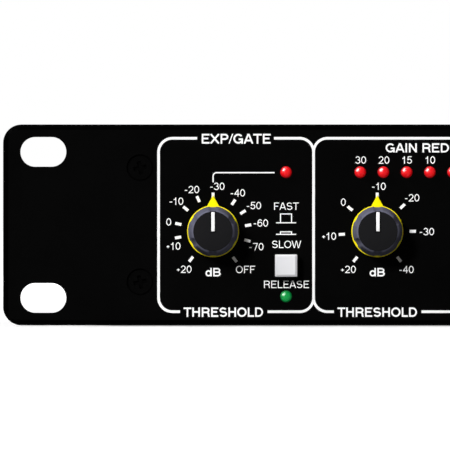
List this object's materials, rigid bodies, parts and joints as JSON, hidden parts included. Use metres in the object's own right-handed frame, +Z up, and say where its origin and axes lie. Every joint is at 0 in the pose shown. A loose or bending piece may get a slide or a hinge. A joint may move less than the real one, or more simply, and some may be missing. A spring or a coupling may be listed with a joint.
{
  "type": "rack compressor",
  "caption": "One-unit 19-inch rack audio compressor: panel with fluted knobs, push buttons and lamps, folded steel case, rear audio sockets and mains inlet.",
  "frame": {"origin": "middle of the overall width and depth, level with the front panel's lower edge", "axes": "+Z up, front panel faces -Y, +X to the right seen from the front"},
  "size_m": [0.4826, 0.1938, 0.0437],
  "materials": {
    "black_paint": "satin black powder coat",
    "board_green": "solder-masked glass epoxy",
    "button_white": "satin white moulding",
    "case_paint": "fine-textured black paint",
    "knob_black": "satin black moulding",
    "led_green": "clear green epoxy",
    "led_red": "clear red epoxy",
    "moulding": "black nylon",
    "nickel": "satin nickel plate",
    "ribbon_grey": "grey flat cable",
    "screw_black": "blackened steel",
    "skirt_yellow": "glossy yellow moulding",
    "steel": "zinc-plated steel",
    "winding": "taped copper winding on an iron ring"
  },
  "bodies": {
    "case": {"chassis_tray": "case_paint", "control_board": "board_green", "front_panel": "black_paint", "gate_led_1": "led_green", "gate_led_2": "led_green", "led_row_1": "led_red", "led_row_2": "led_red", "main_board": "board_green", "mains_cable": "moulding", "mains_inlet": "moulding", "panel_screw_1": "screw_black", "panel_screw_2": "screw_black", "panel_screw_3": "screw_black", "panel_screw_4": "screw_black", "power_led": "led_green", "power_switch": "moulding", "rear_panel": "case_paint", "ribbon_cable": "ribbon_grey", "sidechain_jack_1": "moulding", "sidechain_jack_2": "moulding", "top_cover": "case_paint", "transformer": "winding", "transformer_clamp": "steel", "xlr_input_1": "nickel", "xlr_input_2": "nickel", "xlr_output_1": "nickel", "xlr_output_2": "nickel"},
    "gate_threshold_1": {"gate_threshold_1_knob": "knob_black", "gate_threshold_1_skirt": "skirt_yellow"},
    "threshold_1": {"threshold_1_knob": "knob_black", "threshold_1_skirt": "skirt_yellow"},
    "ratio_1": {"ratio_1_knob": "knob_black", "ratio_1_skirt": "skirt_yellow"},
    "attack_1": {"attack_1_knob": "knob_black", "attack_1_skirt": "skirt_yellow"},
    "release_time_1": {"release_time_1_knob": "knob_black", "release_time_1_skirt": "skirt_yellow"},
    "output_1": {"output_1_knob": "knob_black", "output_1_skirt": "skirt_yellow"},
    "gate_threshold_2": {"gate_threshold_2_knob": "knob_black", "gate_threshold_2_skirt": "skirt_yellow"},
    "threshold_2": {"threshold_2_knob": "knob_black", "threshold_2_skirt": "skirt_yellow"},
    "ratio_2": {"ratio_2_knob": "knob_black", "ratio_2_skirt": "skirt_yellow"},
    "attack_2": {"attack_2_knob": "knob_black", "attack_2_skirt": "skirt_yellow"},
    "release_time_2": {"release_time_2_knob": "knob_black", "release_time_2_skirt": "skirt_yellow"},
    "output_2": {"output_2_knob": "knob_black", "output_2_skirt": "skirt_yellow"},
    "gate_release_button_1": {"gate_release_button_1": "button_white"},
    "bypass_button_1": {"bypass_button_1": "button_white"},
    "gate_release_button_2": {"gate_release_button_2": "button_white"},
    "bypass_button_2": {"bypass_button_2": "button_white"},
    "link_button": {"link_button": "button_white"},
    "power_rocker": {"power_rocker": "moulding"},
    "xlr_latch_1": {"xlr_latch_1": "steel"},
    "xlr_latch_2": {"xlr_latch_2": "steel"},
    "fuse_drawer": {"fuse_drawer": "moulding"}
  },
  "joints": [
    {"name": "gate_threshold_1_turn", "type": "hinge", "parent": "case", "child": "gate_threshold_1", "pos_m": [-0.19566, -0.08335, 0.02044], "axis": [0, 1, 0], "range_deg": [-142, 142]},
    {"name": "threshold_1_turn", "type": "hinge", "parent": "case", "child": "threshold_1", "pos_m": [-0.16, -0.08335, 0.02044], "axis": [0, 1, 0], "range_deg": [-142, 142]},
    {"name": "ratio_1_turn", "type": "hinge", "parent": "case", "child": "ratio_1", "pos_m": [-0.13206, -0.08335, 0.02044], "axis": [0, 1, 0], "range_deg": [-142, 142]},
    {"name": "attack_1_turn", "type": "hinge", "parent": "case", "child": "attack_1", "pos_m": [-0.10496, -0.08335, 0.02044], "axis": [0, 1, 0], "range_deg": [-142, 142]},
    {"name": "release_time_1_turn", "type": "hinge", "parent": "case", "child": "release_time_1", "pos_m": [-0.07787, -0.08335, 0.02044], "axis": [0, 1, 0], "range_deg": [-142, 142]},
    {"name": "output_1_turn", "type": "hinge", "parent": "case", "child": "output_1", "pos_m": [-0.05077, -0.08335, 0.02044], "axis": [0, 1, 0], "range_deg": [-142, 142]},
    {"name": "gate_threshold_2_turn", "type": "hinge", "parent": "case", "child": "gate_threshold_2", "pos_m": [-0.01306, -0.08335, 0.02044], "axis": [0, 1, 0], "range_deg": [-142, 142]},
    {"name": "threshold_2_turn", "type": "hinge", "parent": "case", "child": "threshold_2", "pos_m": [0.0226, -0.08335, 0.02044], "axis": [0, 1, 0], "range_deg": [-142, 142]},
    {"name": "ratio_2_turn", "type": "hinge", "parent": "case", "child": "ratio_2", "pos_m": [0.05054, -0.08335, 0.02044], "axis": [0, 1, 0], "range_deg": [-142, 142]},
    {"name": "attack_2_turn", "type": "hinge", "parent": "case", "child": "attack_2", "pos_m": [0.07764, -0.08335, 0.02044], "axis": [0, 1, 0], "range_deg": [-142, 142]},
    {"name": "release_time_2_turn", "type": "hinge", "parent": "case", "child": "release_time_2", "pos_m": [0.10473, -0.08335, 0.02044], "axis": [0, 1, 0], "range_deg": [-142, 142]},
    {"name": "output_2_turn", "type": "hinge", "parent": "case", "child": "output_2", "pos_m": [0.13183, -0.08335, 0.02044], "axis": [0, 1, 0], "range_deg": [-142, 142]},
    {"name": "gate_release_button_1_press", "type": "slide", "parent": "case", "child": "gate_release_button_1", "axis": [0, 1, 0], "range_m": [0, 0.0025], "stiffness_N_per_m": 300, "springref_m": -0.0015},
    {"name": "bypass_button_1_press", "type": "slide", "parent": "case", "child": "bypass_button_1", "axis": [0, 1, 0], "range_m": [0, 0.0025], "stiffness_N_per_m": 300, "springref_m": -0.0015},
    {"name": "gate_release_button_2_press", "type": "slide", "parent": "case", "child": "gate_release_button_2", "axis": [0, 1, 0], "range_m": [0, 0.0025], "stiffness_N_per_m": 300, "springref_m": -0.0015},
    {"name": "bypass_button_2_press", "type": "slide", "parent": "case", "child": "bypass_button_2", "axis": [0, 1, 0], "range_m": [0, 0.0025], "stiffness_N_per_m": 300, "springref_m": -0.0015},
    {"name": "link_button_press", "type": "slide", "parent": "case", "child": "link_button", "axis": [0, 1, 0], "range_m": [0, 0.0025], "stiffness_N_per_m": 300, "springref_m": -0.0015},
    {"name": "power_rocker_tip", "type": "hinge", "parent": "case", "child": "power_rocker", "pos_m": [0.1915, -0.08115, 0.02044], "axis": [-1, 0, 0], "range_deg": [0, 16]},
    {"name": "xlr_latch_1_press", "type": "slide", "parent": "case", "child": "xlr_latch_1", "axis": [0, -1, 0], "range_m": [0, 0.0012], "stiffness_N_per_m": 400, "springref_m": -0.001},
    {"name": "xlr_latch_2_press", "type": "slide", "parent": "case", "child": "xlr_latch_2", "axis": [0, -1, 0], "range_m": [0, 0.0012], "stiffness_N_per_m": 400, "springref_m": -0.001},
    {"name": "fuse_drawer_pull", "type": "slide", "parent": "case", "child": "fuse_drawer", "axis": [0, 1, 0], "range_m": [0, 0.016]}
  ]
}
